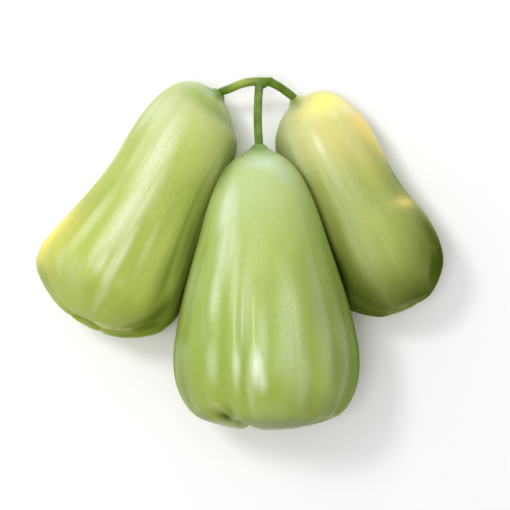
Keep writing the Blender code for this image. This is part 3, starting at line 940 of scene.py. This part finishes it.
def spot_layers(tree, grain):
    """Spots of colour, painted light and painted shade, some in fine strands and the rest made uneven by the
    grain.
    """
    strands = tree.between(tree.noise(tree.mark("spoke", "Vector"), STRANDS), *STRAND_STEP, *STRAND_STRENGTH)
    strands = tree.product(strands, tree.between(grain, *STRAND_STEP, *STRAND_GRAIN))
    uneven = tree.math("ADD", tree.product(grain, SPOT_GRAIN), SPOT_EVEN, clamp=True)
    return [(tree.product(tree.mark(kind), strands if kind in STRANDED else uneven), colour)
            for kind, colour in SPOT_COLOURS.items()]


def skin_gloss(tree, skin, along, grain, dry):
    """Makes the skin waxy, and dull on its underside, in its painted shade and where it is dry."""
    gloss = tree.math("ADD", skin.gloss_top, tree.product(along, skin.gloss_end - skin.gloss_top))
    rough = tree.math("SUBTRACT", SKIN_ROUGHNESS, tree.product(gloss, GLOSS_ROUGHNESS))
    rough = tree.math("ADD", rough, tree.product(tree.between(grain, *ROUGH_STEP), GRAIN_ROUGHNESS))
    rough = tree.math("ADD", rough, tree.product(dry, DRY_ROUGHNESS))
    tree.surface("Roughness", rough)
    lit = tree.math("SUBTRACT", 1.0, tree.product(tree.mark("under"), UNDER_DULL))
    lit = tree.math("SUBTRACT", lit, tree.product(tree.mark("shade"), SHADE_DULL), clamp=True)
    tree.surface("Specular IOR Level", tree.product(lit, MIRROR))
    tree.surface("Coat Weight", tree.math("MULTIPLY", tree.product(gloss, lit), COAT, clamp=True))
    tree.surface("Coat Roughness", COAT_ROUGHNESS)


def skin_material(name, skin):
    """Waxy skin: pale ridges, greener grooves, fine streaks and pores, dry brown calyx edges, painted light
    and shade.
    """
    tree = Tree(name)
    place = tree.mark("grown", "Vector")
    along = tree.mark("along")
    grain = tree.noise(place, GRAIN)
    dry = tree.product(tree.mark("rim"), tree.between(tree.noise(place, DRY_PATCHES), *DRY_STEP))
    layers = skin_layers(tree, skin, place, along, grain) + spot_layers(tree, grain)
    layers += [(dry, DRY_COLOUR), (tree.product(tree.mark("cup"), CUP_SHARE), CUP_COLOUR)]
    colour = srgb(*skin.ground)
    for share, over in layers:
        colour = tree.mix(share, colour, srgb(*over))
    tree.surface("Base Color", colour)
    skin_gloss(tree, skin, along, grain, dry)
    tree.surface("Subsurface Weight", FLESH_SHARE)
    tree.surface("Subsurface Radius", FLESH_RADIUS)
    tree.surface("Subsurface Scale", FLESH_SCALE)
    waves = tree.product(tree.noise(place, WAVES), WAVE_SHARE)
    tree.relief(tree.math("ADD", tree.noise(place, RIPPLES), waves), SKIN_RELIEF, SKIN_RELIEF_SHOWS)
    return tree.made


def stalk_material():
    """Green bark in two shades with fine relief, riper in places, and the pale cut."""
    tree = Tree("green_stalk_bark")
    place = tree.mark("grown", "Vector")
    clouds = tree.between(tree.noise(place, BARK_CLOUDS), *BARK_STEP)
    colour = tree.mix(clouds, srgb(*BARK_DARK), srgb(*BARK_LIGHT))
    colour = tree.mix(tree.product(tree.mark("ripe"), BARK_RIPE_SHARE), colour, srgb(*BARK_RIPE))
    colour = tree.mix(tree.mark("cut"), colour, srgb(*BARK_CUT))
    tree.surface("Base Color", colour)
    tree.surface("Roughness", BARK_ROUGHNESS)
    tree.surface("Specular IOR Level", BARK_MIRROR)
    tree.relief(tree.noise(place, BARK_GRAIN), BARK_RELIEF, BARK_RELIEF_SHOWS)
    return tree.made


def make_floor():
    """The plain pale surface that the bunch lies on."""
    corners = [(across * FLOOR_HALF, along * FLOOR_HALF, 0.0)
               for across, along in ((-1, -1), (1, -1), (1, 1), (-1, 1))]
    data = bpy.data.meshes.new("floor")
    data.from_pydata(corners, [], [(0, 1, 2, 3)])
    tree = Tree("pale_floor")
    tree.surface("Base Color", FLOOR_COLOUR)
    tree.surface("Roughness", FLOOR_ROUGHNESS)
    data.materials.append(tree.made)
    floor = bpy.data.objects.new("floor", data)
    bpy.context.scene.collection.objects.link(floor)


def make_lights():
    """Soft area lights round the bunch, and an even light from all sides."""
    for name, (place, size, power, colour) in LIGHTS.items():
        data = bpy.data.lights.new(name, "AREA")
        data.shape = "RECTANGLE"
        data.size, data.size_y = size
        data.energy = power
        data.color = colour
        light = bpy.data.objects.new(name, data)
        light.location = place
        light.rotation_euler = (LIGHT_TARGET - Vector(place)).to_track_quat("-Z", "Y").to_euler()
        bpy.context.scene.collection.objects.link(light)
    world = bpy.data.worlds.new("studio")
    world.use_nodes = True
    background = world.node_tree.nodes["Background"]
    background.inputs["Color"].default_value = WORLD_COLOUR
    background.inputs["Strength"].default_value = WORLD_STRENGTH
    bpy.context.scene.world = world


def make_camera():
    """The camera at the photograph's viewing angle."""
    data = bpy.data.cameras.new("camera")
    data.lens = CAMERA_LENS
    data.sensor_width = SENSOR_WIDTH
    data.clip_start = CAMERA_NEAR * MM
    camera = bpy.data.objects.new("camera", data)
    tilt = math.radians(CAMERA_TILT)
    back = Vector((0.0, -math.sin(tilt), math.cos(tilt)))
    camera.location = (Vector(CAMERA_TARGET) + back * CAMERA_DISTANCE) * MM
    camera.rotation_euler = (tilt, 0.0, 0.0)
    bpy.context.scene.collection.objects.link(camera)
    bpy.context.scene.camera = camera


make_camera()
for each in (LEFT, MIDDLE, RIGHT):
    make_fruit(each, skin_material("skin_of_" + each.name, SKINS[each.name]))
make_stalk(stalk_material())
make_floor()
make_lights()
bpy.context.scene.view_settings.view_transform = "Standard"
